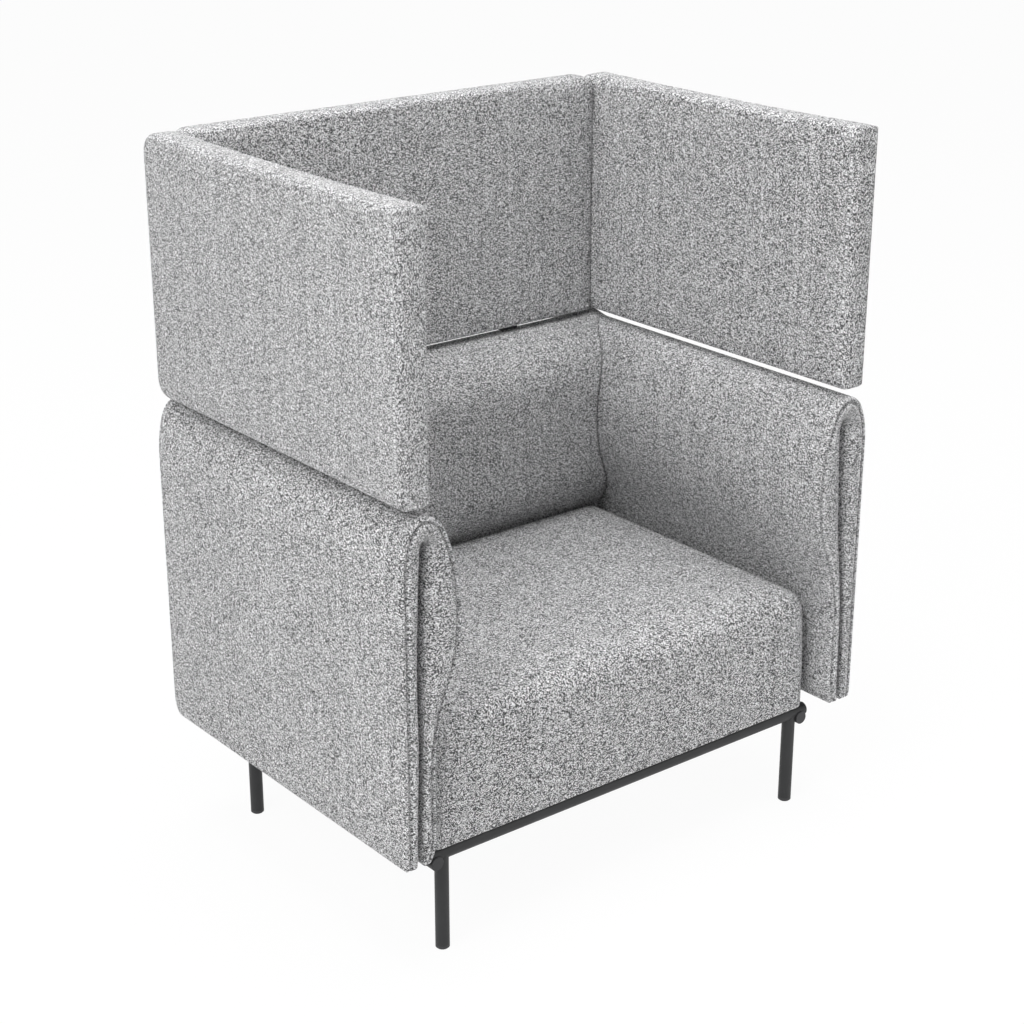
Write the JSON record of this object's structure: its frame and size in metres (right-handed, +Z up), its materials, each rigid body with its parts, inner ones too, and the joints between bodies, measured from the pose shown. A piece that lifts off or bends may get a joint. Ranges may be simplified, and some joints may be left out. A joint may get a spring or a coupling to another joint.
{
  "type": "acoustic high back lounge chair",
  "caption": "Upholstered high-back lounge chair: padded seat between folded arms and back on a slim tube base, with padded acoustic screens on three sides above them.",
  "frame": {"origin": "on the floor under the middle of the chair's overall width and depth", "axes": "+X to the right as seen from the front, +Y towards the back, +Z up; the chair faces -Y. Left and right in node names are as seen from the front."},
  "size_m": [1.046, 0.757, 1.307],
  "materials": {
    "powder_coated_steel": "satin charcoal powder coat",
    "black_plastic": "matte moulded plastic",
    "zinc_plated_steel": "zinc plated",
    "timber": "sanded plywood and beech",
    "foam": "open-cell foam",
    "webbing": "woven elastic webbing",
    "lining": "thin non-woven lining",
    "melange_fabric": "light grey melange weave"
  },
  "bodies": {
    "root": {"arm_bolts_left": "zinc_plated_steel", "arm_bolts_right": "zinc_plated_steel", "arm_cover_left": "melange_fabric", "arm_cover_right": "melange_fabric", "arm_foam_left": "foam", "arm_foam_right": "foam", "arm_inner_board_left": "timber", "arm_inner_board_right": "timber", "arm_outer_board_left": "timber", "arm_outer_board_right": "timber", "arm_support_bars_left": "powder_coated_steel", "arm_support_bars_right": "powder_coated_steel", "back_bolts": "zinc_plated_steel", "back_cover": "melange_fabric", "back_foam": "foam", "back_inner_board": "timber", "back_outer_board": "timber", "back_upright_left": "powder_coated_steel", "back_upright_right": "powder_coated_steel", "front_cross_tube": "powder_coated_steel", "leg_front_left": "powder_coated_steel", "leg_front_right": "powder_coated_steel", "leg_glides": "black_plastic", "leg_rear_left": "powder_coated_steel", "leg_rear_right": "powder_coated_steel", "rear_cross_tube": "powder_coated_steel", "screen_back_board": "timber", "screen_back_cover": "melange_fabric", "screen_back_foam": "foam", "screen_bracket_screws": "zinc_plated_steel", "screen_corner_brackets": "zinc_plated_steel", "screen_post_screws": "zinc_plated_steel", "screen_side_board_left": "timber", "screen_side_board_right": "timber", "screen_side_cover_left": "melange_fabric", "screen_side_cover_right": "melange_fabric", "screen_side_foam_left": "foam", "screen_side_foam_right": "foam", "seat_corner_blocks": "timber", "seat_cover": "melange_fabric", "seat_foam": "foam", "seat_front_rail": "timber", "seat_mounting_tabs": "powder_coated_steel", "seat_rear_rail": "timber", "seat_side_rail_left": "timber", "seat_side_rail_right": "timber", "seat_tab_screws": "zinc_plated_steel", "seat_underside_lining": "lining", "seat_webbing_crosswise": "webbing", "seat_webbing_lengthwise": "webbing", "side_tube_left": "powder_coated_steel", "side_tube_right": "powder_coated_steel", "tube_end_plugs": "black_plastic"}
  },
  "joints": []
}
